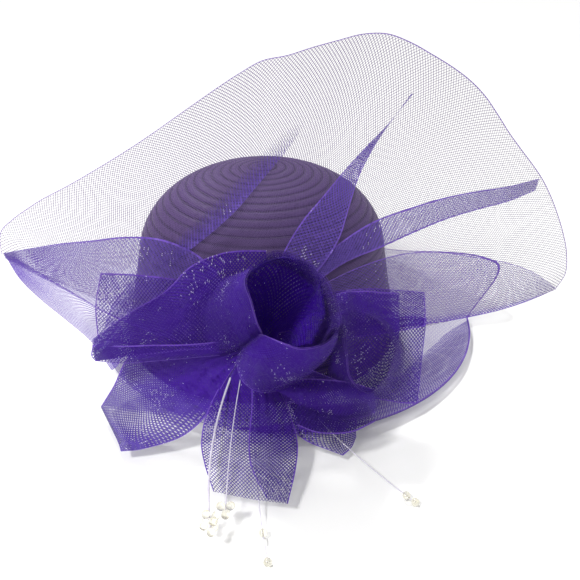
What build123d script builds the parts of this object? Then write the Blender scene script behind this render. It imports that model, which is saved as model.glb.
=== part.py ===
"""Fascinator headpiece: a braid crown with a crin brim, an upswept crin fan and a crin flower.

Millimetres. The origin is the centre of the head opening, in the plane of the rim.
+Z runs up to the crown's tip, -Y is the front, where the flower is, and +X is the
side that the fan's tall corner leans to.
"""
from build123d import *
import math
import os

os.makedirs("parts", exist_ok=True)

# Driving dimensions
head_radius = 88.0           # inside of the sweatband, a 55 cm head
band_thickness = 1.2
band_height = 22.0
band_gap = 1 / 6              # between the sweatband's top edge and the crown's wall
braid_thickness = 1.6        # crown wall
crown_height = 112.0
round_depth = 52.0           # height over which the crown's top rounds over
crown_taper = 11.0           # how far the wall leans in between the rim and the shoulder
tip_depth = 16.0             # height of the crown's tip, above the seam with its side
wire_radius = 1.0            # millinery wire rolled into the rim
brim_width = 34.0            # mean width, from the rim to the brim's edge
brim_shift_x = 18.0          # the brim is wider on the right than on the left
brim_shift_y = 2.0
brim_rise = 5.0              # how far the brim's edge lifts off the table
sheet = 0.8                  # one layer of crin, as a solid
seat = 0.3                   # clearance where one soft piece rests on another
fan_bend = 340.0             # radius that the upswept fan is bent to
fan_slope = 0.30             # how far back the fan leans for each mm of height
knot_height = 50.0           # height of the knot that gathers the flower
knot_radius = 10.0
knot_reach = 24.0            # how far the knot stands out from the crown
base_radius = 20.0           # stiff disc that the flower is sewn to
base_thickness = 2.0
strip_width = 50.0           # crin strip that the flower's tails are cut from
foot_gap = 0.65              # between the knot and the foot of a strip
thick_stem = 0.55            # stem radii
thin_stem = 0.25
bead_radius = 2.1
bead_bore_gap = 0.05

# The crown is as wide at the rim as lets its leaning wall clear the sweatband's top edge
shoulder_height = crown_height - round_depth
crown_lean = crown_taper / shoulder_height
band_radius = head_radius + band_thickness
rim_radius = band_radius + crown_lean * band_height + band_gap + braid_thickness
shoulder_radius = rim_radius - crown_taper
tip_height = crown_height - tip_depth
brim_radius = rim_radius + brim_width

# The point of the crown's front that the flower is sewn to
crown_front = rim_radius - crown_lean * knot_height


def from_knot(x, y, z):
    """A point given from the spot of the crown where the flower is sewn."""
    return Vector(x, y - crown_front, z + knot_height)


def finish(piece, name):
    """Label a piece and write it."""
    piece.part.label = name
    export_step(piece.part, f"parts/{name}.step")


# Crown: two shells of sewn braid, the side and the tip, meeting at a flat seam
def crown_profile(radius_cut, height_cut):
    """Half section of the crown, cut back from its outside by the given amounts."""
    Polyline((0, height(height_cut)), (0, 0), (rim_radius - radius_cut, 0),
             (shoulder_radius - radius_cut, shoulder_height))
    Bezier((shoulder_radius - radius_cut, shoulder_height),
           (0.965 * (shoulder_radius - radius_cut), shoulder_height + 0.62 * round_over(height_cut)),
           (0.66 * (shoulder_radius - radius_cut), height(height_cut)),
           (0, height(height_cut)))


def height(cut):
    return crown_height - cut


def round_over(cut):
    return height(cut) - shoulder_height


def crown_shell(keep):
    """The crown's wall on one side of the seam between side and tip."""
    with BuildPart() as shell:
        with BuildSketch(Plane.XZ):
            with BuildLine():
                crown_profile(0, 0)
            make_face()
        revolve(axis=Axis.Z)
        with BuildSketch(Plane.XZ):
            with BuildLine():
                crown_profile(braid_thickness, braid_thickness)
            make_face()
        revolve(axis=Axis.Z, mode=Mode.SUBTRACT)
        split(bisect_by=Plane.XY.offset(tip_height), keep=keep)
    return shell


crown_side = crown_shell(Keep.BOTTOM)
finish(crown_side, "crown_side")
crown_tip = crown_shell(Keep.TOP)
finish(crown_tip, "crown_tip")

# Sweatband: a grosgrain ribbon inside the rim, which the head bears on
with BuildPart() as sweatband:
    with BuildSketch(Plane.XY):
        Circle(band_radius)
        Circle(head_radius, mode=Mode.SUBTRACT)
    extrude(amount=band_height)
finish(sweatband, "sweatband")

# Rim wire: between the crown's wall and the sweatband, just inside the wall
wire_ring = rim_radius - braid_thickness - wire_radius - seat
with BuildPart() as rim_wire:
    with BuildSketch(Plane.XZ):
        with Locations((wire_ring, wire_radius + seat)):
            Circle(wire_radius)
    revolve(axis=Axis.Z)
finish(rim_wire, "rim_wire")


# Brim: a shallow cone of crin round the rim, wider on one side
def brim_layer(lift):
    """One layer of the brim, raised by the given amount, its hole fitting round the crown."""
    with BuildPart() as layer:
        for raised, mode in ((lift, Mode.ADD), (lift + sheet, Mode.SUBTRACT)):
            with BuildSketch(Plane.XY.offset(raised)):
                Circle(rim_radius + seat)
            with BuildSketch(Plane.XY.offset(raised + brim_rise)):
                with Locations((brim_shift_x, brim_shift_y)):
                    Circle(brim_radius)
            loft(mode=mode)
        with BuildSketch(Plane.XY):
            Circle(rim_radius + seat)
        extrude(amount=brim_rise + lift, mode=Mode.SUBTRACT)
    return layer


brim = brim_layer(0)
finish(brim, "brim")

# Hem: a second layer along the brim's front right edge, a crescent
hem_radius = 1.05 * brim_radius
hem_shift = 0.135 * brim_radius
hem_lift = sheet + seat
with BuildPart() as brim_hem:
    add(brim_layer(hem_lift).part)
    with BuildSketch(Plane.XY):
        with Locations((brim_shift_x - hem_shift, brim_shift_y + hem_shift)):
            Circle(hem_radius)
    extrude(amount=2 * (brim_rise + hem_lift), mode=Mode.SUBTRACT)
finish(brim_hem, "brim_hem")


# Fan: crin sheets bent to one radius, leaning back over the crown, in layers
fan_setback = 8.0
fan_foot = knot_radius + foot_gap
fan_layer_pitch = sheet + 0.4


def fan_sheet(outline, layer):
    """A sheet of the fan with its outline given in front view, x and height from the knot."""
    inner = fan_bend + layer * fan_layer_pitch
    lean = math.atan(fan_slope)
    start = from_knot(0, -fan_setback, 0)
    section = Plane(origin=start, x_dir=(1, 0, 0), z_dir=(0, math.sin(lean), math.cos(lean)))
    with BuildPart() as piece:
        with BuildSketch(section.offset(-knot_height)):
            with Locations((0, fan_bend)):
                Circle(inner + sheet)
                Circle(inner, mode=Mode.SUBTRACT)
        extrude(amount=3 * crown_height)
        with BuildSketch(Plane.XZ.offset(-crown_front)):
            with BuildLine():
                outline()
            make_face()
        extrude(amount=3 * crown_front, mode=Mode.INTERSECT)
    return piece


def at_height(points):
    return [(x, z + knot_height) for x, z in points]


def fan_panel_outline():
    top = Spline(*at_height([(-153, 29), (-126, 61), (-65, 96), (-15, 128), (30, 145),
                             (68, 151), (97, 139), (124, 121), (147, 94), (171, 67)]))
    right = Spline(*at_height([(171, 67), (187, 44), (197, 13), (193, 0)]))
    Polyline(right @ 1, *at_height([(132, -5), (100, -3), (0.8 * knot_radius, fan_foot),
                                       (-0.8 * knot_radius, fan_foot), (-77, 5)]), top @ 0)


def left_pleat_outline():
    top = Spline(*at_height([(-149, 29), (-110, 42), (-61, 50), (-34, 43), (-12, 17)]))
    Polyline(top @ 1, *at_height([(-77, 9), (-106, 16), (-125, 22)]), top @ 0)


def right_pleat_outline():
    top = Spline(*at_height([(14, 18), (48, 49), (70, 60), (94, 65), (144, 68), (167, 69)]))
    Polyline(top @ 1, *at_height([(150, 64), (115, 57), (93, 52), (75, 46), (48, 37), (17, 17)]), top @ 0)


def lower_pleat_outline():
    top = Spline(*at_height([(19, 15), (48, 31), (76, 39), (105, 38), (138, 28), (162, 18), (184, 1)]))
    Polyline(top @ 1, *at_height([(132, -3), (100, -1)]), top @ 0)


def sharp_pleat_outline():
    left = Spline(*at_height([(5, 15), (20, 52), (33, 68), (48, 85), (60, 97), (77, 113)]))
    Polyline(left @ 1, *at_height([(63, 94), (55, 78), (47, 52), (10, 15)]), left @ 0)


def soft_pleat_outline():
    low = Spline(*at_height([(-52, 33), (-33, 47), (-12, 64), (3, 80), (20, 99), (28, 112)]))
    high = Spline(*at_height([(28, 112), (13, 101), (-3, 87), (-20, 71), (-40, 54), (-56, 40)]))
    Line(high @ 1, low @ 0)


fan_panel = fan_sheet(fan_panel_outline, 0)
finish(fan_panel, "fan_panel")
left_pleat = fan_sheet(left_pleat_outline, 1)
finish(left_pleat, "left_pleat")
right_pleat = fan_sheet(right_pleat_outline, 1)
finish(right_pleat, "right_pleat")
lower_pleat = fan_sheet(lower_pleat_outline, 1)
finish(lower_pleat, "lower_pleat")
sharp_pleat = fan_sheet(sharp_pleat_outline, 2)
finish(sharp_pleat, "sharp_pleat")
soft_pleat = fan_sheet(soft_pleat_outline, 2)
finish(soft_pleat, "soft_pleat")

# Left wing: the brim swept up from its left edge to the fan's left tip
def on_brim(angle, inset):
    """A point just above the brim, at an angle from +X and in from its edge."""
    turn = math.radians(angle)
    reach = brim_radius - inset
    return Vector(brim_shift_x + reach * math.cos(turn), brim_shift_y + reach * math.sin(turn),
                  brim_rise + seat)


wing_foot = on_brim(211.3, 2.4)
wing_heel = on_brim(186.4, 6.2)
wing_tip = from_knot(-150, 42, 24)
wing_bulge = from_knot(-138, 37, -12)
wing_normal = (wing_heel - wing_foot).cross(wing_tip - wing_foot)
wing_plane = Plane(origin=wing_foot, x_dir=wing_heel - wing_foot, z_dir=wing_normal)
with BuildPart() as left_wing:
    with BuildSketch(wing_plane):
        with BuildLine():
            Line(wing_plane.to_local_coords(wing_foot), wing_plane.to_local_coords(wing_heel))
            Line(wing_plane.to_local_coords(wing_heel), wing_plane.to_local_coords(wing_tip))
            bulge = wing_plane.to_local_coords(wing_bulge)
            ThreePointArc(wing_plane.to_local_coords(wing_tip), Vector(bulge.X, bulge.Y, 0),
                          wing_plane.to_local_coords(wing_foot))
        make_face()
    extrude(amount=sheet)
finish(left_wing, "left_wing")

# Flower base: a stiff disc sewn flat against the crown's front
front_normal = Vector(0, -1, crown_lean).normalized()
base_plane = Plane(origin=from_knot(0, 0, 0) + front_normal * seat, x_dir=(1, 0, 0), z_dir=front_normal)
with BuildPart() as flower_base:
    with BuildSketch(base_plane):
        Circle(base_radius)
    extrude(amount=base_thickness)
finish(flower_base, "flower_base")

# Knot: the wrapped thread that gathers every loop and tail
knot_start = seat + base_thickness + seat + crown_lean * knot_radius
with BuildPart() as knot:
    with BuildSketch(Plane.XZ.offset(crown_front + knot_start)):
        with Locations((0, knot_height)):
            Circle(knot_radius)
    extrude(amount=knot_reach - knot_start)
    chamfer(knot.edges().group_by(Axis.Y)[0], 0.2 * knot_radius)
finish(knot, "knot")


# Every loop and tail starts beside the knot, at an angle from +X and a depth from the crown
def foot(angle, depth, gap=foot_gap):
    """A point beside the knot, the given gap from its surface."""
    turn = math.radians(angle)
    reach = knot_radius + gap
    return from_knot(reach * math.cos(turn), -depth, reach * math.sin(turn))


# Loops: crin strips that flare from a gathered foot to an open mouth
def flared_loop(start, start_radius, mouth, mouth_width, mouth_height, facing=None):
    """A thin-walled trumpet; its ends face along the loop unless a direction is given."""
    along = facing if facing else mouth - start
    side = Vector(0, 0, 1).cross(along)
    with BuildPart() as loop:
        for cut, mode in ((0, Mode.ADD), (sheet, Mode.SUBTRACT)):
            with BuildSketch(Plane(origin=start, x_dir=side, z_dir=along)):
                Circle(start_radius - cut)
            with BuildSketch(Plane(origin=mouth, x_dir=side, z_dir=along)):
                Ellipse(mouth_width - cut, mouth_height - cut)
            loft(mode=mode)
    return loop


centre_loop = flared_loop(foot(74.9, 20, 3.05), 5, from_knot(21, -52, 46), 22, 22)
finish(centre_loop, "centre_loop")
left_roll = flared_loop(foot(117, 19, 1.9), 3, from_knot(-15, -32, 49), 10, 10)
finish(left_roll, "left_roll")
front_roll = flared_loop(from_knot(3, -24.3, 1), 4, from_knot(16, -46, 4), 20, 12, Vector(0, -1, 0))
finish(front_roll, "front_roll")
right_loop = flared_loop(foot(17.8, 18.5, 1.76), 3, from_knot(60, -31, 1), 11, 22)
finish(right_loop, "right_loop")
low_loop = flared_loop(foot(-37.6, 21, 1), 3, from_knot(50, -26, -30), 6, 9)
finish(low_loop, "low_loop")


# Tails: flat strips that widen from the knot to a cut end
def flat_tail(start, end, start_width, end_width, across, thickness):
    """A flat strip from start to end, its width running along the given direction."""
    along = end - start
    length = along.length
    face = Plane(origin=start, x_dir=along, z_dir=along.cross(across))
    with BuildPart() as tail:
        with BuildSketch(face):
            with BuildLine():
                Polyline((0, -start_width / 2), (0.45 * length, -0.42 * end_width), (length, -end_width / 2),
                         (length, end_width / 2), (0.45 * length, 0.42 * end_width), (0, start_width / 2),
                         close=True)
            make_face()
        extrude(amount=thickness)
    return tail


upright = Vector(0, 0, 1)
sideways = Vector(1, 0, 0)
left_loop = flat_tail(foot(174.6, 13.5), from_knot(-86, -13.5, 9), 6, 0.8 * strip_width, upright, 3.0)
finish(left_loop, "left_loop")
left_strip = flat_tail(foot(163.9, 10.5), from_knot(-83, -10.5, 20), 6, 0.84 * strip_width, upright, sheet)
finish(left_strip, "left_strip")
left_tail = flat_tail(foot(223.5, 19, 1), from_knot(-74, -36, -37), 6, 1.12 * strip_width,
                      Vector(0.4, -1, 0), sheet)
finish(left_tail, "left_tail")
front_tail = flat_tail(from_knot(-2, -24.4, -6.4), from_knot(0, -94, -41), 8, strip_width, sideways, sheet)
finish(front_tail, "front_tail")
right_tail = flat_tail(foot(10.8, 10.5), from_knot(93, -10.5, 7), 6, 0.84 * strip_width, upright, sheet)
finish(right_tail, "right_tail")
right_under = flat_tail(foot(-21.6, 14), from_knot(93, -14, -16), 6, 0.88 * strip_width, upright, sheet)
finish(right_under, "right_under_tail")
under_tail = flat_tail(foot(-70, 20, 1.7), from_knot(44, -54, -43), 5, 0.52 * strip_width,
                       Vector(1, 1, 0), sheet)
finish(under_tail, "under_tail")


# Stems: springy filaments that end in small beads
def stem(path, radius):
    """A round filament along a single arc through three points."""
    with BuildPart() as filament:
        with BuildLine():
            line = ThreePointArc(*path)
        with BuildSketch(Plane(origin=line @ 0, z_dir=line % 0)):
            Circle(radius)
        sweep()
    return filament


def beads(centres, path, radius):
    """Round beads, drilled where the stem passes through them."""
    with BuildPart() as group:
        with Locations(*centres):
            Sphere(bead_radius)
        add(stem(path, radius + bead_bore_gap).part, mode=Mode.SUBTRACT)
    return group


def cluster(path, radius, rows):
    """Rows of three beads around the stem's end, and one bead beyond it."""
    line = ThreePointArc(*path)
    end = Plane(origin=line @ 1, z_dir=line % 1)
    ring = bead_radius / math.sin(math.pi / 3) + radius
    centres = [end.from_local_coords((0, 0, bead_radius + seat))]
    for row in range(rows):
        back = -2 * bead_radius * row - 0.6 * bead_radius
        for turn in range(3):
            angle = math.radians(120 * turn + 60 * row)
            centres.append(end.from_local_coords((ring * math.cos(angle), ring * math.sin(angle), back)))
    return beads(centres, path, radius)


# Beads of the front and right stems lie on the table, so their centres are a radius above it
table_drop = bead_radius + 0.2 - knot_height
left_path = [from_knot(-5, -24.7, 1.5), from_knot(-18, -64, -22.5), from_knot(-16, -110, -37)]
short_path = [from_knot(-3, -24.7, 3), from_knot(-9, -62, -21.5), from_knot(-10, -100, -37)]
front_path = [from_knot(1, -24.6, -7.6), from_knot(3, -74, -38), from_knot(10, -120, table_drop)]
right_path = [from_knot(5, -24.6, -5.5), from_knot(30, -44, -25), from_knot(82, -86, table_drop)]

stem_left = stem(left_path, thick_stem)
finish(stem_left, "stem_left")
stem_short = stem(short_path, thin_stem)
finish(stem_short, "stem_short")
stem_front = stem(front_path, thin_stem)
finish(stem_front, "stem_front")
stem_right = stem(right_path, thin_stem)
finish(stem_right, "stem_right")

beads_left = cluster(left_path, thick_stem, 2)
finish(beads_left, "beads_left")
beads_short = cluster(short_path, thin_stem, 1)
finish(beads_short, "beads_short")
front_line = ThreePointArc(*front_path)
beads_front = beads([front_line @ 0.86, front_line @ 1], front_path, thin_stem)
finish(beads_front, "beads_front")
right_line = ThreePointArc(*right_path)
beads_right = beads([right_line @ 0.95, right_line @ 1], right_path, thin_stem)
finish(beads_right, "beads_right")
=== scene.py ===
import bpy
import bmesh
import math
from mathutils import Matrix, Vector


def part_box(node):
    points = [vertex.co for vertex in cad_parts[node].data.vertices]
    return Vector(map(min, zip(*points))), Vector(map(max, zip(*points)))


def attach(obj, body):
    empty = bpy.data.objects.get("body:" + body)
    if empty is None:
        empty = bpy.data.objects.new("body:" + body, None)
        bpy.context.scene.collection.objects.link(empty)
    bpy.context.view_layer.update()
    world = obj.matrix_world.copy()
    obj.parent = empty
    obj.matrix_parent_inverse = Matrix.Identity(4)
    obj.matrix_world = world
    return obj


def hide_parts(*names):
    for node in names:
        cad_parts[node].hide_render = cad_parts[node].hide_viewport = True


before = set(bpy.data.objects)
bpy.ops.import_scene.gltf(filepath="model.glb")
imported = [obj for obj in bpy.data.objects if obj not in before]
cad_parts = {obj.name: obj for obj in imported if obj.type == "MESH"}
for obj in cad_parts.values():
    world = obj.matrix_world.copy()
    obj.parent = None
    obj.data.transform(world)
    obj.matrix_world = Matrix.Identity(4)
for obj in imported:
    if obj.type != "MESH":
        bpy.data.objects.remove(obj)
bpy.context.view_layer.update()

# Camera. It looks down on the flower and the crown's front from a little right of the middle,
# close enough that the flower looms and the fan falls away.
camera_data = bpy.data.cameras.new("camera")
camera_data.sensor_width = 36.0
camera_data.lens = 39.72
camera_data.clip_start = 0.01
camera = bpy.data.objects.new("camera", camera_data)
camera.location = (0.020, -0.393, 0.251)
camera.rotation_euler = (math.radians(60.0), 0.0, 0.0)
bpy.context.collection.objects.link(camera)
bpy.context.scene.camera = camera

# Floor and light. A pale matt floor in a bright white room, with a soft sun overhead and a
# little behind, so that the hat throws short soft shadows towards the front. A small lamp at
# the front left picks out glints on the filament.
bpy.context.scene.view_settings.view_transform = "Standard"
bpy.context.scene.cycles.transparent_max_bounces = 48

room = bpy.data.worlds.new("room")
room.use_nodes = True
room.node_tree.nodes["Background"].inputs["Color"].default_value = (1.0, 1.0, 1.0, 1.0)
room.node_tree.nodes["Background"].inputs["Strength"].default_value = 0.66
bpy.context.scene.world = room

sun_data = bpy.data.lights.new("sun", "SUN")
sun_data.energy = 1.9
sun_data.angle = math.radians(9)
sun = bpy.data.objects.new("sun", sun_data)
sun.rotation_euler = Vector((0.30, -0.60, -1.0)).to_track_quat("-Z", "Y").to_euler()
bpy.context.collection.objects.link(sun)

glint_data = bpy.data.lights.new("glint", "AREA")
glint_data.size = 0.12
glint_data.energy = 6.0
glint = bpy.data.objects.new("glint", glint_data)
glint.location = (-0.35, -0.55, 0.75)
glint.rotation_euler = (Vector((0, -0.1, 0.05)) - glint.location).to_track_quat("-Z", "Y").to_euler()
bpy.context.collection.objects.link(glint)


def new_paint(name):
    """A new material, its node tree and its shader."""
    paint = bpy.data.materials.new(name)
    paint.use_nodes = True
    return paint, paint.node_tree, paint.node_tree.nodes["Principled BSDF"]


floor_mesh = bmesh.new()
bmesh.ops.create_grid(floor_mesh, x_segments=1, y_segments=1, size=8.0)
floor_data = bpy.data.meshes.new("floor")
floor_mesh.to_mesh(floor_data)
floor_mesh.free()
floor = bpy.data.objects.new("floor", floor_data)
bpy.context.collection.objects.link(floor)
floor_paint, _, floor_shader = new_paint("pale_floor")
floor_shader.inputs["Base Color"].default_value = (0.90, 0.90, 0.885, 1.0)
floor_shader.inputs["Roughness"].default_value = 0.55
floor_data.materials.append(floor_paint)

# Crown. Narrow semi-sheer braid is sewn round and round from the tip to the rim, each row
# lapping the last, so the wall is a stack of soft bands with a dark line of painted shade where each row
# laps the next.
ROW = 0.0060
ROW_SWELL = 0.0006
CROWN_STEPS = 120
BRAID_THICKNESS = 0.0012
crown_low, crown_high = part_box("crown_side")
tip_low, tip_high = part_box("crown_tip")
rim_radius = (crown_high[0] - crown_low[0]) / 2
crown_top = tip_high[2]
SHOULDER_HEIGHT = 0.060
TAPER = 0.0125
shoulder_radius = rim_radius - TAPER
TIP_RISE = 0.004
LEAN = 0.0025
THREADS_ROUND = 176
THREADS_PER_ROW = 3.6
LOOPS_ROUND = 132
THREAD_COLOUR = (0.105, 0.060, 0.185)
# painted shade: the near-black in the hollows between the braid's threads, where the bump sinks
THREAD_GAP_SHADE = (0.008, 0.003, 0.026)
BLOOM_COLOUR = (0.085, 0.048, 0.155)
# painted shade: the near-black of the slits where one row of braid laps the next
ROW_LAP_SHADE = (0.008, 0.004, 0.020)


def node(tree, kind, links=(), **settings):
    """A shader node with its sockets linked or set; a link is (socket, source)."""
    made = tree.nodes.new(kind)
    for key, value in settings.items():
        setattr(made, key, value)
    for socket, source in links:
        if isinstance(source, bpy.types.NodeSocket):
            tree.links.new(source, made.inputs[socket])
        else:
            made.inputs[socket].default_value = source
    return made


def maths(tree, operation, *sources):
    """One Math node and its result."""
    return node(tree, "ShaderNodeMath", list(enumerate(sources)), operation=operation).outputs[0]


def from_middle(tree, value):
    """How far a repeating count is from the middle of its step, from 0 to a half."""
    return maths(tree, "ABSOLUTE", maths(tree, "SUBTRACT", maths(tree, "FRACT", value), 0.5))


def two_tone(tree, value, low, high, low_at=0.0, high_at=1.0):
    """A colour that runs from low to high as a value rises."""
    ramp = node(tree, "ShaderNodeValToRGB", [("Fac", value)])
    for stop, colour, at in zip(ramp.color_ramp.elements, (low, high), (low_at, high_at)):
        stop.position = at
        stop.color = (*colour, 1.0)
    return ramp.outputs["Color"]


def blend(tree, factor, first, second):
    """A mix of two colours, all the second where the factor is 1."""
    return node(tree, "ShaderNodeMix", [("Factor", factor), (6, first), (7, second)],
                data_type="RGBA").outputs[2]


def object_place(tree):
    """The place on the piece, in the headpiece's own frame."""
    return node(tree, "ShaderNodeTexCoord").outputs["Object"]


def to_piece(bm, name, material):
    """Turn a finished bmesh into a smooth object of the headpiece."""
    data = bpy.data.meshes.new(name)
    bm.to_mesh(data)
    bm.free()
    data.materials.append(material)
    data.shade_smooth()
    piece = bpy.data.objects.new(name, data)
    bpy.context.collection.objects.link(piece)
    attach(piece, "headpiece")
    return piece


def crown_outline():
    """Points up the crown's outside, from the rim to the tip, about evenly spaced."""
    wall_steps, tip_steps = 40, 80
    shoulder = Vector((shoulder_radius, 0, SHOULDER_HEIGHT))
    curve = [Vector((rim_radius, 0, 0)).lerp(shoulder, i / wall_steps) for i in range(wall_steps)]
    rise = crown_top - SHOULDER_HEIGHT
    corners = [shoulder,
               Vector((0.965 * shoulder_radius, 0, SHOULDER_HEIGHT + 0.62 * rise)),
               Vector((0.62 * shoulder_radius, 0, crown_top + 0.5 * TIP_RISE)),
               Vector((0, 0, crown_top + TIP_RISE))]
    for i in range(tip_steps + 1):
        t = i / tip_steps
        curve.append(corners[0] * (1 - t) ** 3 + corners[1] * 3 * t * (1 - t) ** 2
                     + corners[2] * 3 * t * t * (1 - t) + corners[3] * t ** 3)
    return curve


def along(curve, distance):
    """The point at a distance along a polyline, and the direction there."""
    for a, b in zip(curve, curve[1:]):
        step = (b - a).length
        if distance <= step:
            return a.lerp(b, distance / step), (b - a).normalized()
        distance -= step
    return curve[-1].copy(), (curve[-1] - curve[-2]).normalized()


def braid_material():
    """Dark purple braid: soft bands, slits of painted shade between the rows, and a fine criss-cross of
    threads with painted shade in the gaps.
    """
    paint, tree, shader = new_paint("crown_braid")
    row = node(tree, "ShaderNodeAttribute", attribute_name="row").outputs["Fac"]
    place = object_place(tree)
    split = node(tree, "ShaderNodeSeparateXYZ", [(0, place)])
    turn = maths(tree, "ARCTAN2", split.outputs["Y"], split.outputs["X"])
    round_count = maths(tree, "MULTIPLY", turn, THREADS_ROUND / math.pi)
    row_count = maths(tree, "MULTIPLY", row, THREADS_PER_ROW)
    weave = maths(tree, "MINIMUM", *[from_middle(tree, maths(tree, way, round_count, row_count))
                                     for way in ("ADD", "SUBTRACT")])
    to_row_edge = maths(tree, "MULTIPLY", from_middle(tree, row), 2.0)
    lap_shade = node(tree, "ShaderNodeMapRange", [("Value", to_row_edge), ("From Min", 0.58), ("From Max", 0.86)],
                interpolation_type="SMOOTHSTEP").outputs["Result"]
    # the painted shade between the rows is broken: the braid's loops show between dark slits
    loops = from_middle(tree, maths(tree, "MULTIPLY", turn, LOOPS_ROUND / math.pi))
    gap = node(tree, "ShaderNodeMapRange", [("Value", loops), ("From Min", 0.12), ("From Max", 0.34),
                                            ("To Min", 1.0), ("To Max", 0.62)]).outputs["Result"]
    cloud = node(tree, "ShaderNodeTexNoise", [("Vector", place), ("Scale", 38.0), ("Detail", 3.0)])
    # the threads keep their own colour; the hollows between them are painted near black, as painted shade
    body = two_tone(tree, weave, THREAD_COLOUR, THREAD_GAP_SHADE, 0.05, 0.32)
    tone = blend(tree, maths(tree, "MULTIPLY", cloud.outputs["Fac"], 0.45), body, (*BLOOM_COLOUR, 1.0))
    dark = blend(tree, maths(tree, "MULTIPLY", lap_shade, gap), tone, (*ROW_LAP_SHADE, 1.0))
    tree.links.new(dark, shader.inputs["Base Color"])
    rough = node(tree, "ShaderNodeMapRange", [("Value", weave), ("From Max", 0.5), ("To Min", 0.32),
                                              ("To Max", 0.75)])
    tree.links.new(rough.outputs["Result"], shader.inputs["Roughness"])
    bump = node(tree, "ShaderNodeBump", [("Strength", 0.5), ("Distance", 0.0004), ("Height", weave)],
                invert=True)
    tree.links.new(bump.outputs["Normal"], shader.inputs["Normal"])
    shader.inputs["Specular IOR Level"].default_value = 0.2
    return paint


crown_braid = braid_material()
outline = crown_outline()
outline_length = sum((b - a).length for a, b in zip(outline, outline[1:]))
seam_at = 0.0
for a, b in zip(outline, outline[1:]):
    if b.z > tip_low[2]:
        break
    seam_at += (b - a).length


def braid_wall(name, start, stop, node_name):
    """Rows of braid from one distance up the crown to another, spun round the crown."""
    bm = bmesh.new()
    row_layer = bm.verts.layers.float.new("row")
    across_row = (0.0, 0.14, 0.38, 0.66, 0.88)
    least_step = 0.0003
    stations = [start]
    for count in range(int(outline_length / ROW) + 1):
        for phase in across_row:
            distance = (count + phase) * ROW
            if start < distance < stop - least_step:
                stations.append(distance)
    stations.append(stop)
    skin = []
    for distance in stations:
        point, heading = along(outline, distance)
        outward = Vector((heading.z, 0, -heading.x))
        phase = (distance / ROW) % 1.0
        swell = ROW_SWELL * math.sqrt(math.sin(math.pi * phase)) - ROW_SWELL
        point = point + outward * swell
        vert = bm.verts.new((max(point.x, 0.0), 0, point.z))
        vert[row_layer] = distance / ROW
        skin.append(vert)
    edges = [bm.edges.new(pair) for pair in zip(skin, skin[1:])]
    bmesh.ops.spin(bm, geom=skin + edges, cent=(0, 0, 0), axis=(0, 0, 1), angle=2 * math.pi,
                   steps=CROWN_STEPS, use_merge=True)
    bmesh.ops.remove_doubles(bm, verts=bm.verts, dist=1e-6)
    bmesh.ops.recalc_face_normals(bm, faces=bm.faces)
    for vert in bm.verts:
        vert.co.x += LEAN * vert.co.z / crown_top
    piece = to_piece(bm, name, crown_braid)
    wall = piece.modifiers.new("wall", "SOLIDIFY")
    wall.thickness = BRAID_THICKNESS
    wall.offset = -1
    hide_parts(node_name)


braid_wall("side_braid", 0.0, seam_at, "crown_side")
braid_wall("tip_braid", seam_at, outline_length, "crown_tip")

# Brim. One layer of open crin lies round the crown's foot, sewn to the rim, wider on the
# right. Crin is a net of stiff clear-dyed filament braided on the bias, with a firm selvage.
MM = 0.001
rim_low, rim_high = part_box("brim")
knot_low, knot_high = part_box("knot")
knot_face = Vector((0, knot_low.y, (knot_low.z + knot_high.z) / 2))
brim_radius = (rim_high.x - rim_low.x) / 2
brim_centre = (rim_low + rim_high) / 2
BRIM_EDGE_LIFT = 0.0058
RIM_LAP = 0.0012
RIM_LIFT = 0.0009
KICK_REACH = 0.028
KICK_LIFT = 0.027
# the kick's middle, and its spread to the front and the back, in degrees from the brim's back
KICK_AT = 83
KICK_FRONT, KICK_BACK = 12, 50
PLEAT_DYE = (0.155, 0.090, 0.47)
# painted highlight: the near-white that single crossings are painted, as glints
PAINTED_GLINT = (0.85, 0.78, 1.0)
HEM_TINT = (0.20, 0.10, 0.52)
SHEEN_TINT = (0.62, 0.50, 0.95)
BIAS = math.sqrt(0.5)
# half a thread at its widest, and half a crossing, as shares of the space between threads
WIDEST_THREAD = 0.44
CROSSING = 0.14
NO_SELVAGE = 99.0


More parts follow.
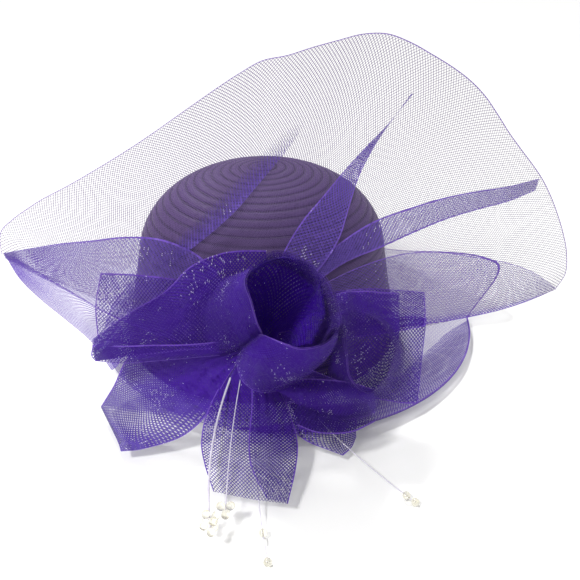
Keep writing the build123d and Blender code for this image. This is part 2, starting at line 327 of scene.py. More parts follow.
def crin(name, pitch, thread, dye, selvage, glint=0.9, sparkle=0.62, body=1.0):
    """Crin netting: two sets of round filaments on the bias, clear between them.

    Pitch and thread are in millimetres on the flat strip. The attribute "gather" thickens the
    threads where the strip is drawn together, and "selvage" is the distance to its long edge.
    The filament is clear, so body is how much of the light a single thread stops.
    """
    paint, tree, shader = new_paint(name)
    flat = node(tree, "ShaderNodeSeparateXYZ", [(0, node(tree, "ShaderNodeUVMap").outputs["UV"])])
    gather = node(tree, "ShaderNodeAttribute", attribute_name="gather").outputs["Fac"]
    edge = node(tree, "ShaderNodeAttribute", attribute_name="selvage").outputs["Fac"]
    half = maths(tree, "MINIMUM", maths(tree, "MULTIPLY", gather, thread / pitch / 2), WIDEST_THREAD)
    counts = [maths(tree, "MULTIPLY", maths(tree, way, flat.outputs["X"], flat.outputs["Y"]), BIAS / pitch)
              for way in ("ADD", "SUBTRACT")]
    offs = [from_middle(tree, count) for count in counts]
    half = maths(tree, "MAXIMUM", half, 0.001)
    nearest = maths(tree, "MINIMUM", *[maths(tree, "DIVIDE", off, half) for off in offs])
    threads = maths(tree, "MULTIPLY", maths(tree, "LESS_THAN", nearest, 1.0), body)
    hem = maths(tree, "LESS_THAN", edge, selvage)
    tree.links.new(maths(tree, "MAXIMUM", threads, hem), shader.inputs["Alpha"])
    # each crossing of threads lies at its own slight tilt, so some catch the light and sparkle
    cells = node(tree, "ShaderNodeCombineXYZ", [(0, counts[0]), (1, counts[1])])
    cell = node(tree, "ShaderNodeVectorMath", [(0, cells.outputs[0])], operation="FLOOR")
    tilt = node(tree, "ShaderNodeTexWhiteNoise", [("Vector", cell.outputs[0])], noise_dimensions="2D")
    swing = node(tree, "ShaderNodeVectorMath", [(0, tilt.outputs["Color"]), (1, (0.5, 0.5, 0.5))],
                 operation="SUBTRACT")
    swing = node(tree, "ShaderNodeVectorMath", [(0, swing.outputs[0]), (3, glint)], operation="SCALE")
    facing = node(tree, "ShaderNodeNewGeometry").outputs["Normal"]
    leaning = node(tree, "ShaderNodeVectorMath", [(0, facing), (1, swing.outputs[0])], operation="ADD")
    leaning = node(tree, "ShaderNodeVectorMath", [(0, leaning.outputs[0])], operation="NORMALIZE")
    fall = maths(tree, "MINIMUM", maths(tree, "POWER", nearest, 2.0), 1.0)
    bump = node(tree, "ShaderNodeBump", [("Strength", 0.8), ("Distance", 0.00025),
                                         ("Height", maths(tree, "SUBTRACT", 1.0, fall)),
                                         ("Normal", leaning.outputs[0])])
    tree.links.new(bump.outputs["Normal"], shader.inputs["Normal"])
    # in patches single crossings are painted almost white, as painted glints in the base colour
    patch = node(tree, "ShaderNodeTexNoise", [("Vector", object_place(tree)), ("Scale", 60.0),
                                              ("Detail", 1.0)])
    painted_flash = maths(tree, "GREATER_THAN",
                  maths(tree, "MULTIPLY", patch.outputs["Fac"], tilt.outputs["Value"]), sparkle)
    at_crossing = maths(tree, "LESS_THAN", maths(tree, "MAXIMUM", *offs), CROSSING)
    hem_dye = [0.5 * tint + 0.5 * pale for tint, pale in zip(dye, HEM_TINT)]
    colour = blend(tree, hem, (*dye, 1.0), (*hem_dye, 1.0))
    colour = blend(tree, maths(tree, "MULTIPLY", painted_flash, at_crossing), colour, (*PAINTED_GLINT, 1.0))
    tree.links.new(colour, shader.inputs["Base Color"])
    shader.inputs["Roughness"].default_value = 0.26
    shader.inputs["IOR"].default_value = 1.5
    shader.inputs["Specular IOR Level"].default_value = 0.09
    shader.inputs["Sheen Weight"].default_value = 0.13
    shader.inputs["Sheen Roughness"].default_value = 0.30
    shader.inputs["Sheen Tint"].default_value = (*SHEEN_TINT, 1.0)
    return paint


def curve_at(points, t):
    """A smooth curve through evenly spaced points, at t from 0 to 1."""
    last = len(points) - 1
    if last == 1:
        return points[0].lerp(points[1], t)
    k = min(int(t * last), last - 1)
    f = t * last - k
    b, c = points[k], points[k + 1]
    a = points[k - 1] if k else 2 * b - c
    d = points[k + 2] if k + 2 <= last else 2 * c - b
    return 0.5 * (2 * b + (c - a) * f + (2 * a - 5 * b + 4 * c - d) * f * f
                  + (3 * b - a - 3 * c + d) * f ** 3)


def crin_sheet(name, rails, flat, cells, paint, pleats=(0, 0.0), lift=0.0, fade=None, turn=0.0,
               selvages="sides", closed=False):
    """A strip of crin laid on rails, each a row of points across it, from its foot to its end.

    flat is the strip's (width, length) in millimetres, and cells the grid's (across, along).
    Pleats are (count, depth): gathers that run out along the strip. fade(u, v) thins the
    threads away, lift raises the sheet off its rails, and turn shifts its weave.
    """
    across, lengthwise = cells
    loosest, tightest = 0.85, 2.0
    bm = bmesh.new()
    bmesh.ops.create_grid(bm, x_segments=across, y_segments=lengthwise, size=0.5)
    columns = [[curve_at(rail, i / across) for rail in rails] for i in range(across + 1)]
    place = [[curve_at(column, j / lengthwise) for j in range(lengthwise + 1)] for column in columns]
    if closed:
        place[across] = place[0]

    def slopes(i, j):
        left, right = max(i - 1, 0), min(i + 1, across)
        span = right - left
        if closed and i in (0, across):
            left, right, span = across - 1, 1, 2
        low, high = max(j - 1, 0), min(j + 1, lengthwise)
        return ((place[right][j] - place[left][j]) / span,
                (place[i][high] - place[i][low]) / (high - low))

    widths = [0.0]
    for i in range(across):
        widths.append(widths[-1] + (place[i + 1][lengthwise] - place[i][lengthwise]).length)
    lengths = [0.0]
    middle = place[across // 2]
    for j in range(lengthwise):
        lengths.append(lengths[-1] + (middle[j + 1] - middle[j]).length)
    flat_area = flat[0] * flat[1] * MM * MM
    uv = bm.loops.layers.uv.new("UVMap")
    gather = bm.verts.layers.float.new("gather")
    selvage = bm.verts.layers.float.new("selvage")
    for vert in bm.verts:
        i = round((vert.co.x + 0.5) * across)
        j = round((vert.co.y + 0.5) * lengthwise)
        u, v = i / across, j / lengthwise
        over, up = slopes(i, j)
        normal = over.cross(up)
        drawn = flat_area / (across * lengthwise) / max(normal.length, 1e-9)
        vert[gather] = max(loosest, min(drawn ** 0.5, tightest)) * (fade(u, v) if fade else 1.0)
        to_side, to_end = min(u, 1 - u) * flat[0], (1 - v) * flat[1]
        vert[selvage] = {"sides": to_side, "foot": v * flat[1], "end": to_end, "cut": min(to_side, to_end),
                         "none": NO_SELVAGE}[selvages]
        wave = math.cos(2 * math.pi * pleats[0] * u) * pleats[1] * max(0.0, 1 - v) ** 1.3
        flat_place = (widths[i] / widths[-1] * flat[0] + turn,
                      lengths[j] / lengths[-1] * flat[1] + 0.37 * turn)
        vert.co = place[i][j] + normal.normalized() * (lift + wave) * MM
        for loop in vert.link_loops:
            loop[uv].uv = flat_place
    piece = to_piece(bm, name, paint)
    return piece


def brim_row(share, count=97):
    """Evenly turned points round the brim, closed, from the back; share 0 is its rim, 1 its edge.

    The edge kicks up and out at the right, steeply on the front side and slowly on the back.
    """
    row = []
    for k in range(count):
        turn = 2 * math.pi * k / (count - 1)
        degrees = math.degrees(turn)
        front = degrees > KICK_AT
        away = abs(degrees - KICK_AT) / (KICK_FRONT if front else KICK_BACK)
        rise = max(0.0, 1 - away)
        rise = rise * rise * (3 - 2 * rise)
        reach = brim_radius + KICK_REACH * (rise if front else rise ** 4)
        way = Vector((math.sin(turn), math.cos(turn), 0))
        edge = Vector((brim_centre.x, brim_centre.y, BRIM_EDGE_LIFT + KICK_LIFT * rise)) + way * reach
        rim = way * (rim_radius - RIM_LAP) + Vector((0, 0, RIM_LIFT))
        point = rim.lerp(edge, share)
        point.z = rim.z + (edge.z - rim.z) * share ** 1.6
        row.append(point)
    return row


brim_crin = crin("brim_crin", 1.35, 0.27, PLEAT_DYE, 0.8, sparkle=0.9)
brim = crin_sheet("brim_crin", [brim_row(share) for share in (0.0, 0.25, 0.5, 0.75, 1.0)],
                  (810, 40), (240, 12), brim_crin, selvages="end", closed=True)
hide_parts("brim")

# Brim hem. Along its front right edge the brim is turned back on itself, so a crescent of it
# is two layers deep.
HEM_START, HEM_SWEEP = -104, 98
HEM_WIDTH = 0.028
HEM_LIFT = 0.0066
HEM_FALL = 0.14
HEM_STEPS = 14
hem_rails = []
for inset in (0.0, 0.5, 1.0):
    hem_rails.append([])
    for k in range(HEM_STEPS + 1):
        angle = math.radians(HEM_START + HEM_SWEEP * k / HEM_STEPS)
        width = inset * HEM_WIDTH * math.sin(math.pi * (k / HEM_STEPS) ** 1.5) ** 0.6
        hem_rails[-1].append(Vector((brim_centre.x + (brim_radius - width) * math.cos(angle),
                                     brim_centre.y + (brim_radius - width) * math.sin(angle),
                                     HEM_LIFT - HEM_FALL * width)))
brim_hem = crin_sheet("brim_hem_crin", hem_rails, (225, 24), (72, 6), brim_crin, turn=0.4,
                      selvages="foot", fade=lambda u, v: 1.9 - 0.8 * u)
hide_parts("brim_hem")

# Fan. Wide open crin drawn up at the knot and spread upright in front of the crown, leaning
# back as it rises. Its upper edge is a free selvage.
VEIL_DYE = (0.150, 0.095, 0.25)
FAN_BACK = 15.8
FAN_SLOPE = 0.30
FAN_BOW = 0.0015
# the foot is part of a ring round the knot, in millimetres and degrees
FOOT_HEIGHT = 50
FOOT_RADIUS = 16
FOOT_BACK = 15
FOOT_START, FOOT_SWEEP = 200, -220
FAN_COLUMNS = 36
RIPPLE = 1.6
RIPPLE_TURN = 1.05


def on_fan(*points, lift=0.0):
    """Points given as x and height in millimetres, set on the fan's bent sheet."""
    placed = []
    for x, z in points:
        back = FAN_BACK + FAN_SLOPE * (z - FOOT_HEIGHT) + FAN_BOW * x * x - lift
        placed.append(Vector((x * MM, knot_face.y + back * MM, z * MM)))
    return placed


def evenly(points, count):
    """The smooth curve through points, cut into evenly spaced ones."""
    steps = 400
    fine = [curve_at(points, k / steps) for k in range(steps + 1)]
    total = [0.0]
    for a, b in zip(fine, fine[1:]):
        total.append(total[-1] + (b - a).length)
    out, k = [], 0
    for step in range(count):
        goal = total[-1] * step / (count - 1)
        while k < steps - 1 and total[k + 1] < goal:
            k += 1
        span = total[k + 1] - total[k]
        out.append(fine[k].lerp(fine[k + 1], min(1.0, (goal - total[k]) / span if span else 0.0)))
    return out


fan_edge = evenly(on_fan((-153, 78), (-151, 92), (-126, 111), (-99, 126), (-65, 146), (-34, 166),
                         (-15, 178), (5, 189), (20, 192), (39, 197), (68, 201), (97, 189), (124, 171),
                         (147, 144), (171, 117), (186, 92), (194, 72), (196, 58), (188, 48)),
                  FAN_COLUMNS + 1)
fan_foot = []
for k in range(FAN_COLUMNS + 1):
    angle = math.radians(FOOT_START + FOOT_SWEEP * k / FAN_COLUMNS)
    fan_foot.append(Vector((FOOT_RADIUS * math.cos(angle) * MM, knot_face.y + FOOT_BACK * MM,
                            (FOOT_HEIGHT + FOOT_RADIUS * math.sin(angle)) * MM)))
fan_rails = []
for share in (0.0, 0.2, 0.4, 0.6, 0.8, 1.0):
    rail = []
    for k, (a, b) in enumerate(zip(fan_foot, fan_edge)):
        point = a.lerp(b, share)
        sag = on_fan((point.x / MM, point.z / MM))[0].y - point.y
        ripple = RIPPLE * MM * math.sin(k * RIPPLE_TURN) * share * (1.15 - share)
        point.y += sag * min(1.0, 3 * share) + ripple
        rail.append(point)
    fan_rails.append(rail)
veil_crin = crin("veil_crin", 1.65, 0.235, VEIL_DYE, 0.5, glint=0.5, sparkle=0.9)
fan = crin_sheet("fan_crin", fan_rails, (620, 165), (216, 60), veil_crin, selvages="end")
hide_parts("fan_panel")

# Left wing. The fan's crin runs on from its left end down to the brim's left edge, pulled taut
# between the two, so that its threads close up and it reads as a plain lavender strip.
wing_rails = [
    [(-92, -70, 6), (-109, -50, 14), (-127, -41, 26), (-138, -44, 42), (-146, -49, 60), (-152, -49, 78)],
    [(-84, -76, 18), (-98, -62, 28), (-114, -54, 40), (-127, -54, 52), (-138, -53, 64), (-150, -50, 78)],
    [(-77, -84, 50), (-92, -79, 58), (-106, -73, 65), (-119, -67, 70), (-132, -61, 75), (-146, -54, 79)]]
wing_crin = crin("wing_crin", 1.4, 0.50, PLEAT_DYE, 0.8, glint=0.5, sparkle=0.9)
wing = crin_sheet("wing_crin", [[Vector(p) * MM for p in rail] for rail in wing_rails], (125, 48), (48, 16),
                  wing_crin, selvages="foot")
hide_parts("left_wing")

# Pleats. Folds of the fan's crin, each doubled but for the lower right one, that lie over the fan
# and spread from the knot: one to the left tip, a sharp and a soft one upward, and two to the
# right corner.
LAYER_GAP = 0.9
PLEAT_RAILS = 9


def layer_name(name, layer):
    """The name of a layer: the top one has the strip's own name."""
    return f"{name}_under_{layer}" if layer else name


def pleat(name, inner, outer, flat, cad_node, layers=2, fade=None, lift=1.2, selvages="sides"):
    """A fold of the fan between two curves given as x and height, the first from the knot out."""
    for layer in range(layers):
        above = lift + LAYER_GAP * layer
        rails = [list(pair) for pair in zip(evenly(on_fan(*inner, lift=above), PLEAT_RAILS),
                                            evenly(on_fan(*outer, lift=above), PLEAT_RAILS))]
        piece = crin_sheet(layer_name(name, layer), rails, flat, (20, 72), pleat_crin, turn=0.45 * layer,
                           fade=fade, selvages=selvages)
        if layer == 0:
            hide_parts(cad_node)


def denser_low(u, v):
    """The fan's lower fold is soft and doubled, so it is densest along its foot."""
    return 0.75 + 1.5 * math.exp(-((u / 0.07) ** 2))


def soft_ends(u, v):
    """The soft fold thins out to one side and at both its ends."""
    return (1.5 - 1.4 * u) * min(1.0, 5 * v, 2.2 * (1 - v))


pleat_crin = crin("pleat_crin", 1.6, 0.29, PLEAT_DYE, 0.5, sparkle=0.56)
pleat("left_pleat_crin", [(-14, 40), (-31, 42), (-77, 54), (-106, 65), (-125, 71), (-149, 77)],
      [(-6, 62), (-20, 84), (-38, 97), (-61, 101), (-85, 97), (-110, 92), (-150, 80)], (45, 150),
      "left_pleat")
pleat("right_pleat_crin", [(17, 66), (48, 87), (75, 96), (93, 102), (115, 107), (148, 110), (165, 113)],
      [(12, 70), (48, 99), (70, 110), (94, 115), (114, 118), (146, 118), (167, 119)], (16, 165),
      "right_pleat")
pleat("lower_pleat_crin", [(20, 52), (60, 50), (100, 48), (132, 47), (160, 47), (186, 49)],
      [(16, 66), (48, 81), (76, 89), (105, 88), (138, 78), (162, 69), (188, 50)], (45, 180),
      "lower_pleat", layers=1, fade=denser_low)
pleat("sharp_pleat_crin", [(4, 66), (20, 102), (33, 118), (48, 135), (60, 147), (76, 162), (84, 172)],
      [(14, 66), (38, 88), (47, 102), (55, 128), (62, 143), (75, 161), (85, 172)], (20, 135),
      "sharp_pleat", lift=2.0)
pleat("soft_pleat_crin", [(-52, 83), (-33, 97), (-12, 114), (3, 130), (20, 149), (28, 160)],
      [(-58, 88), (-40, 103), (-20, 121), (-4, 137), (13, 153), (25, 162)], (10, 118), "soft_pleat",
      lift=2.0, fade=soft_ends, selvages="none")

# Flower. Strips of closer-woven crin, each gathered to the knot at one end or both. The middle
# one is a loop that opens towards the front like a cup.
FLOWER_DYE = (0.044, 0.008, 0.25)
DEEP_DYE = (0.046, 0.006, 0.34)
# painted shade: a darker copy of the flower's dye, for the fold tucked under the flower
PAINTED_SHADE_DYE = (0.022, 0.004, 0.13)
flower_crin = crin("flower_crin", 1.35, 0.42, FLOWER_DYE, 0.6, sparkle=0.54, body=0.86)
painted_shade_crin = crin("painted_shade_crin", 1.3, 0.42, PAINTED_SHADE_DYE, 0.6, sparkle=0.9)
deep_crin = crin("deep_crin", 1.3, 0.60, DEEP_DYE, 0.6, sparkle=0.9)


def strip(name, rails, flat, cells, cad_node=None, gathers=(4, 0.6), layers=2, closed=False,
          paint=flower_crin, fade=None, selvages="sides"):
    """A gathered strip of flower crin in layers, its rails given in millimetres from the knot."""
    placed = [[knot_face + Vector(point) * MM for point in rail] for rail in rails]
    for layer in range(layers):
        piece = crin_sheet(layer_name(name, layer), placed, flat, cells, paint, pleats=gathers,
                           lift=-LAYER_GAP * layer, fade=fade, turn=0.4 * layer, selvages=selvages,
                           closed=closed)
        if layer == 0 and cad_node:
            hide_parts(cad_node)


strip("centre_loop_crin", [
    [(1, -14, 13), (-1, -11, 10), (-4, -6, 5)],
    [(7, -28, 28), (-5, -24, 20), (-21, -10, 8)],
    [(5, -35, 41), (-9, -28, 36), (-24, -8, 21)],
    [(3, -38, 54), (-9, -28, 48), (-24, -6, 30)],
    [(1, -38, 62), (-6, -27, 56), (-19, -4, 38)],
    [(2, -37, 67), (-3, -24, 59), (-13, -2, 44)],
    [(6, -36, 72), (2, -20, 60), (-4, 0, 47)],
    [(14, -34, 76), (12, -14, 63), (9, 4, 49)],
    [(25, -35, 73), (24, -14, 58), (22, 4, 44)],
    [(36, -38, 64), (34, -16, 48), (29, 2, 33)],
    [(42, -43, 48), (40, -24, 35), (35, -4, 20)],
    [(40, -45, 41), (41, -33, 28), (37, -14, 11)],
    [(34, -46, 36), (36, -40, 24), (32, -24, 6)],
    [(25, -46, 34), (26, -44, 19), (19, -28, -2)],
    [(18, -44, 35), (16, -46, 20), (6, -32, -2)],
    [(12, -40, 35), (6, -44, 24), (-2, -34, 5)],
    [(8, -35, 33), (1, -38, 26), (-5, -32, 13)],
    [(5, -28, 28), (-1, -28, 22), (-5, -22, 13)],
    [(1, -16, 16), (0, -14, 13), (-1, -12, 9)]], (48, 205), (28, 150), "centre_loop", gathers=(0, 0))
strip("cup_lining_crin", [
    [(8, -9, 8)] * 2 + [(4, -7, 12)] + [(0, -9, 10)] * 2 + [(0, -12, 4)] + [(5, -12, 3)] * 2,
    [(30, -12, 30), (28, -4, 45), (18, 0, 52), (4, -4, 50),
     (-8, -10, 40), (-8, -16, 24), (6, -22, 12), (24, -20, 16)],
    [(37, -24, 38), (33, -18, 58), (20, -16, 64), (6, -20, 62),
     (-4, -26, 50), (0, -30, 30), (16, -36, 26), (32, -34, 28)]], (110, 34), (64, 24), gathers=(0, 0),
    closed=True, paint=deep_crin, selvages="none")
strip("left_loop_crin", [
    [(6, -6, 9), (9, 0, 31), (8, 8, 56)],
    [(-7, -10, 8), (-5, -4, 33), (-5, 6, 57)],
    [(-22, -12, 9), (-19, -8, 36), (-16, 4, 56)],
    [(-34, -13, 9), (-31, -11, 32), (-30, 0, 51)],
    [(-47, -14, 8), (-44, -12, 24), (-43, -4, 39)],
    [(-62, -14, 6), (-60, -12, 17), (-58, -8, 31)],
    [(-74, -14, 4), (-73, -11, 12), (-71, -6, 21)],
    [(-81, -14, 3), (-83, -10, 7), (-84, -4, 10)]], (45, 95), (32, 64), "left_loop", gathers=(0, 0))
# the loop's lower edge is rolled forward, and its cut end curls
strip("left_loop_roll_crin", [
    [(-16, -16, 8), (-16, -18, 12), (-16, -15, 16)],
    [(-32, -17, 7), (-32, -19, 11), (-32, -16, 15)],
    [(-50, -17, 5), (-50, -19, 10), (-50, -15, 14)],
    [(-66, -16, 3), (-66, -18, 8), (-66, -13, 12)],
    [(-81, -14, 3), (-83, -13, 6), (-83, -8, 9)]], (11, 68), (12, 40), gathers=(0, 0), layers=1,
    selvages="cut")
strip("left_strip_crin", [
    [(-6, -2, 6), (-6, 0, 12), (-6, 2, 19)],
    [(-25, -4, 6), (-24, 0, 22), (-24, 4, 38)],
    [(-43, -5, 6), (-43, 0, 25), (-44, 5, 42)],
    [(-63, -4, 6), (-63, 2, 25), (-63, 7, 43)],
    [(-82, -2, 9), (-82, 3, 26), (-78, 8, 43)]], (30, 78), (28, 48), "left_strip", layers=1, selvages="cut",
    fade=lambda u, v: 1.0 - 0.22 * v)
strip("left_tail_crin", [
    [(-3, -10, 7), (-4, -8, 7), (-7, -4, 6)],
    [(-16, -15, -13), (-25, -8, -5), (-39, 0, 0)],
    [(-23, -22, -25), (-42, -10, -21), (-66, 6, -5)],
    [(-37, -28, -36), (-56, -14, -34), (-82, 8, -32)],
    [(-57, -32, -41), (-70, -22, -41), (-88, 2, -40)],
    [(-69, -34, -41), (-73, -26, -40), (-88, 0, -40)]], (46, 100), (36, 64), "left_tail", layers=1,
    selvages="cut", fade=lambda u, v: 3.0 - 1.3 * min(1.0, max(0.0, (v - 0.36 - 0.38 * u) * 24)))
strip("front_tail_crin", [
    [(-4, -8, 6), (0, -10, 8), (4, -8, 6)],
    [(-15, -13, -9), (0, -16, -6), (14, -13, -10)],
    [(-24, -23, -24), (-1, -26, -20), (20, -23, -24)],
    [(-26, -36, -32), (-1, -39, -29), (24, -36, -32)],
    [(-23, -48, -37), (1, -54, -33), (23, -50, -37)],
    [(-17, -64, -38), (1, -66, -41), (19, -68, -42)]], (44, 82), (36, 64), "front_tail", layers=1,
    fade=lambda u, v: 2.6 - 1.9 * v)
strip("front_tail_fold_crin", [
    [(0, -17, -4), (6, -17, -5), (12, -15, -8)],
    [(0, -27, -18), (10, -27, -19), (20, -24, -23)],
    [(-1, -40, -27), (12, -39, -28), (24, -37, -31)],
    [(1, -55, -31), (12, -54, -33), (23, -51, -35)],
    [(9, -68, -39), (14, -68, -40), (19, -69, -40)]], (24, 72), (20, 56), layers=1,
    fade=lambda u, v: 1.0 - 0.3 * v)
strip("right_tail_crin", [
    [(10, -4, 6), (10, -2, 11), (10, 0, 16)],
    [(28, -4, 2), (28, 0, 16), (28, 2, 30)],
    [(44, -4, 9), (44, 2, 21), (43, 4, 34)],
    [(60, -4, 12), (60, 3, 22), (60, 6, 35)],
    [(76, -3, 14), (77, 5, 22), (76, 8, 33)],
    [(91, -2, 17), (92, 6, 22), (91, 9, 31)]], (31, 84), (28, 48), "right_tail", layers=1, selvages="cut")
strip("right_under_crin", [
    [(10, -8, 4), (10, -6, 7), (10, -4, 10)],
    [(28, -10, -8), (31, -6, 4), (32, -2, 15)],
    [(47, -11, -20), (50, -6, -1), (51, 0, 17)],
    [(65, -10, -25), (70, -4, -6), (71, 2, 19)],
    [(81, -8, -30), (85, -2, -6), (85, 4, 19)],
    [(91, -6, -32), (92, 0, -7), (93, 5, 17)]], (44, 86), (32, 56), "right_under_tail", layers=1,
    selvages="cut")
strip("right_loop_crin", [
    [(13, -14, 13), (13, -12, 14), (14, -10, 18)],
    [(25, -22, 4), (27, -14, 9), (31, -8, 21)],
    [(43, -30, 36), (43, -18, 31), (51, -6, 29)],
    [(47, -30, 20), (41, -18, 12), (47, -4, 12)],
    [(50, -28, 3), (41, -18, -6), (42, -6, -9)],
    [(59, -26, -8), (55, -16, -20), (51, -4, -30)],
    [(67, -24, -5), (72, -12, -18), (71, 0, -32)],
    [(72, -20, 4), (79, -8, -7), (82, 2, -17)],
    [(74, -14, 13), (80, -4, 6), (82, 6, -1)],
    [(65, -8, 25), (70, 2, 21), (73, 8, 19)],
    [(49, -4, 30), (52, 4, 29), (55, 8, 29)]], (36, 158), (24, 100), "right_loop", gathers=(0, 0))
strip("right_loop_face_crin", [
    [(43, -8, 40), (43, -22, 39), (43, -30, 35)],
    [(49, -4, 39), (48, -20, 29), (47, -28, 17)],
    [(54, 0, 37), (52, -18, 18), (52, -24, -3)],
    [(61, 2, 36), (60, -14, 13), (60, -20, -13)],
    [(67, 4, 34), (67, -10, 13), (67, -16, -12)],
    [(74, 5, 33), (74, -6, 16), (74, -12, -2)],
    [(77, 6, 32), (77, -4, 21), (76, -10, 5)]], (44, 50), (24, 32), gathers=(0, 0), layers=1,
    fade=lambda u, v: 1.35 - 0.75 * max(0.0, v - 0.6) / 0.4)
strip("low_lobe_crin", [
    [(9, -30, -3), (15, -32, -3), (21, -32, -7)],
    [(25, -28, 2), (26, -34, -2), (28, -34, -15)],
    [(38, -28, 2), (40, -34, -5), (43, -34, -19)],
    [(51, -24, -3), (53, -30, -9), (56, -30, -22)],
    [(63, -22, -9), (64, -24, -14), (65, -24, -23)]], (18, 60), (16, 32), gathers=(0, 0))
# the low fold lies tucked under the flower; its crin carries the darker copy of the dye as painted shade
strip("low_fold_crin", [
    [(20, -32, -9), (22, -38, -10), (24, -43, -15)],
    [(30, -32, -11), (33, -38, -14), (35, -43, -20)],
    [(46, -28, -14), (48, -34, -18), (51, -38, -24)],
    [(60, -24, -16), (62, -28, -19), (64, -31, -23)]], (14, 50), (16, 32), gathers=(0, 0),
    paint=painted_shade_crin, fade=lambda u, v: 1.1 - 0.9 * max(0.0, v - 0.6) / 0.4)
strip("low_loop_crin", [
    [(6, -14, 9), (6, -18, 12), (7, -20, 15)],
    [(11, -10, -10), (15, -20, 4), (20, -22, 12)],
    [(21, -8, -29), (26, -22, -7), (31, -24, 5)],
    [(30, -6, -40), (37, -22, -16), (43, -24, -1)],
    [(45, -6, -43), (51, -20, -21), (53, -22, -7)],
    [(63, -6, -43), (62, -16, -25), (60, -18, -13)],
    [(69, -4, -38), (69, -10, -27), (64, -12, -17)]], (40, 84), (24, 64), "low_loop", gathers=(0, 0),
    layers=1)
strip("under_tail_crin", [
    [(6, -12, -2), (9, -14, 2), (12, -14, 3)],
    [(18, -20, -22), (26, -18, -19), (35, -14, -20)],
    [(25, -28, -36), (39, -22, -31), (54, -16, -30)],
    [(48, -34, -44), (53, -28, -44), (56, -22, -42)]], (26, 60), (16, 32), "under_tail", layers=1,
    selvages="cut", fade=lambda u, v: 1.7 - 0.5 * v)
for extra in ("left_roll", "front_roll"):
    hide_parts(extra)

# Flower's heart. A stiff buckram disc behind the flower, and the purple thread wound round the
# gathered strips to hold them.
CLOTH_THREADS = 420.0
THREAD_PLY = 900.0
THREAD_TURNS = 9
GROOVE = 0.045
WINDING = 0.98


def waves(tree, scale, direction, distortion=0.0):
    """Even bands across the piece, as of threads side by side."""
    bands = node(tree, "ShaderNodeTexWave", [("Vector", object_place(tree)), ("Scale", scale),
                                             ("Distortion", distortion)], bands_direction=direction)
    return bands.outputs["Fac"]


def raise_threads(tree, shader, height, strength, distance):
    """Let a pattern stand up from the surface."""
    bump = node(tree, "ShaderNodeBump", [("Strength", strength), ("Distance", distance), ("Height", height)])
    tree.links.new(bump.outputs["Normal"], shader.inputs["Normal"])


def buckram_material():
    """Stiff dark net: crossed threads, stiffened with size, painted darker in the hollows between the
    threads as painted shade.
    """
    paint, tree, shader = new_paint("buckram")
    cloth = maths(tree, "MULTIPLY", waves(tree, CLOTH_THREADS, "X"), waves(tree, CLOTH_THREADS, "Z"))
    tree.links.new(two_tone(tree, cloth, (0.020, 0.008, 0.060), (0.060, 0.030, 0.150)),
                   shader.inputs["Base Color"])
    raise_threads(tree, shader, cloth, 0.6, 0.0003)
    shader.inputs["Roughness"].default_value = 0.85
    return paint


def thread_material():
    """Dark purple sewing thread, twisted from fine plies."""
    paint, tree, shader = new_paint("thread")
    ply = waves(tree, THREAD_PLY, "DIAGONAL", 1.5)
    tree.links.new(two_tone(tree, ply, (0.006, 0.001, 0.040), (0.020, 0.004, 0.120)),
                   shader.inputs["Base Color"])
    shader.inputs["Roughness"].default_value = 0.6
    return paint


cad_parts["flower_base"].data.materials[0] = buckram_material()
wound = bmesh.new()
knot_middle = (knot_low + knot_high) / 2
knot_size = (knot_high - knot_low) / 2
bmesh.ops.create_uvsphere(wound, u_segments=96, v_segments=THREAD_TURNS * 8, radius=1.0)
for vert in wound.verts:
    groove = 1 - GROOVE * (1 - abs(math.cos(THREAD_TURNS * math.pi * vert.co.z)))
    vert.co = knot_middle + Vector((vert.co.x * knot_size.x * groove, vert.co.y * knot_size.y * groove,
                                    vert.co.z * knot_size.z)) * WINDING
bmesh.ops.recalc_face_normals(wound, faces=wound.faces)
knot_thread = to_piece(wound, "knot_thread", thread_material())
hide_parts("knot")

# Inside the rim. A ribbed ribbon lines the opening where the head bears, and a steel wire keeps
# the rim round.
RIBBON_THICKNESS = 0.0009
RIBBON_PULL = 0.0002
RIBS = 6000.0
WIRE_WRAPS = 500.0
band_low, band_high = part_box("sweatband")


def ribbon_material():
    """Dark ribbon with fine ribs that run round it, painted darker in the grooves between the ribs as
    painted shade.
    """
    paint, tree, shader = new_paint("ribbon")
    split = node(tree, "ShaderNodeSeparateXYZ", [(0, object_place(tree))])
    ribs = maths(tree, "SINE", maths(tree, "MULTIPLY", split.outputs["Z"], RIBS))
    groove_shade = node(tree, "ShaderNodeMapRange", [("Value", ribs), ("From Min", -1.0), ("To Min", 0.25),
                                              ("To Max", 1.0)]).outputs["Result"]
    tree.links.new(two_tone(tree, groove_shade, (0.010, 0.004, 0.030), (0.060, 0.028, 0.120)),
                   shader.inputs["Base Color"])
    raise_threads(tree, shader, ribs, 0.7, 0.0004)
    shader.inputs["Roughness"].default_value = 0.62
    shader.inputs["Sheen Weight"].default_value = 0.3
    return paint


def wire_material():
    """Steel wire wrapped in dark thread."""
    paint, tree, shader = new_paint("wire")
    wraps = waves(tree, WIRE_WRAPS, "DIAGONAL")
    tree.links.new(two_tone(tree, wraps, (0.012, 0.006, 0.035), (0.050, 0.028, 0.110)),
                   shader.inputs["Base Color"])
    shader.inputs["Roughness"].default_value = 0.5
    return paint


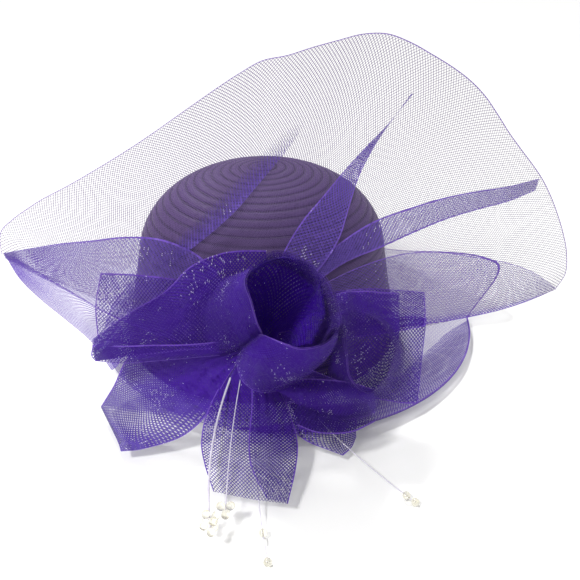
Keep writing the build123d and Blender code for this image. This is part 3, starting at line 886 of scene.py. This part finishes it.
ribbon = bmesh.new()
ribbon_radius = (band_high.x - band_low.x) / 2
profile = []
for share in (0.0, 0.04, 0.25, 0.5, 0.75, 0.96, 1.0):
    pull = RIBBON_PULL * math.sin(math.pi * share)
    height = band_low.z + share * (band_high.z - band_low.z)
    profile.append(ribbon.verts.new((ribbon_radius - RIBBON_THICKNESS - pull, 0, height)))
hoop = [ribbon.edges.new(pair) for pair in zip(profile, profile[1:])]
bmesh.ops.spin(ribbon, geom=profile + hoop, cent=(0, 0, 0), axis=(0, 0, 1), angle=2 * math.pi, steps=144,
               use_merge=True)
bmesh.ops.remove_doubles(ribbon, verts=ribbon.verts, dist=1e-6)
bmesh.ops.recalc_face_normals(ribbon, faces=ribbon.faces)
sweatband_ribbon = to_piece(ribbon, "sweatband_ribbon", ribbon_material())
cloth = sweatband_ribbon.modifiers.new("cloth", "SOLIDIFY")
cloth.thickness = RIBBON_THICKNESS
cloth.offset = 0
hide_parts("sweatband")
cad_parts["rim_wire"].data.materials[0] = wire_material()

# Stems and beads. Four lengths of clear springy filament are caught in the knot, and carry small
# round beads of clear pale yellow, threaded on or clustered round their ends.
def clear_filament(name, low, high, scale, rough, clear):
    """A clear tinted plastic, a little cloudy in places."""
    paint, tree, shader = new_paint(name)
    haze = node(tree, "ShaderNodeTexNoise", [("Vector", object_place(tree)), ("Scale", scale),
                                             ("Detail", 2.0)]).outputs["Fac"]
    tree.links.new(two_tone(tree, haze, low, high, 0.35, 0.65), shader.inputs["Base Color"])
    polish = node(tree, "ShaderNodeMapRange", [("Value", haze), ("To Min", rough), ("To Max", rough + 0.12)])
    tree.links.new(polish.outputs["Result"], shader.inputs["Roughness"])
    shader.inputs["Transmission Weight"].default_value = clear
    shader.inputs["IOR"].default_value = 1.46
    return paint


stem_paint = clear_filament("stem", (0.62, 0.58, 0.70), (0.80, 0.77, 0.86), 260.0, 0.15, 0.35)
bead_paint = clear_filament("bead", (0.93, 0.90, 0.76), (0.98, 0.97, 0.90), 500.0, 0.03, 0.85)
for name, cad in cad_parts.items():
    if name.startswith("stem_"):
        cad.data.materials[0] = stem_paint
    if name.startswith("beads_"):
        cad.data.materials[0] = bead_paint
